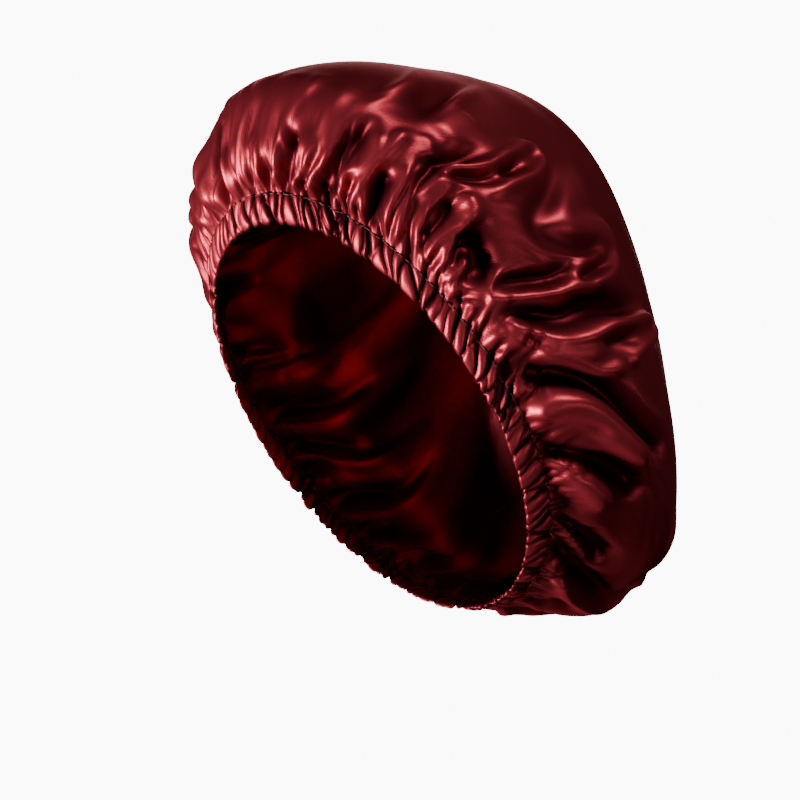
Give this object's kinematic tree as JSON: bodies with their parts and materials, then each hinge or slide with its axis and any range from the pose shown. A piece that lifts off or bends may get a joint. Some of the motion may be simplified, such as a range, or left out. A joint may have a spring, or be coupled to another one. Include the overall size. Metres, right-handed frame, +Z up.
{
  "type": "sleep bonnet",
  "caption": "Sleep bonnet in its worn shape: a gathered satin bag, open at the head, on a ruffled elastic casing.",
  "frame": {"origin": "centre of the head opening, at the edge of the casing", "axes": "+Z up as worn, -Y towards the wearer's face, +X towards the wearer's left"},
  "size_m": [0.2332, 0.2734, 0.2829],
  "materials": {
    "burgundy_satin": "satin weave, dark red, softly shining",
    "casing_satin": "satin weave, dark red, tightly gathered over elastic"
  },
  "bodies": {
    "root": {"crown": "burgundy_satin", "elastic_casing": "casing_satin"}
  },
  "joints": []
}
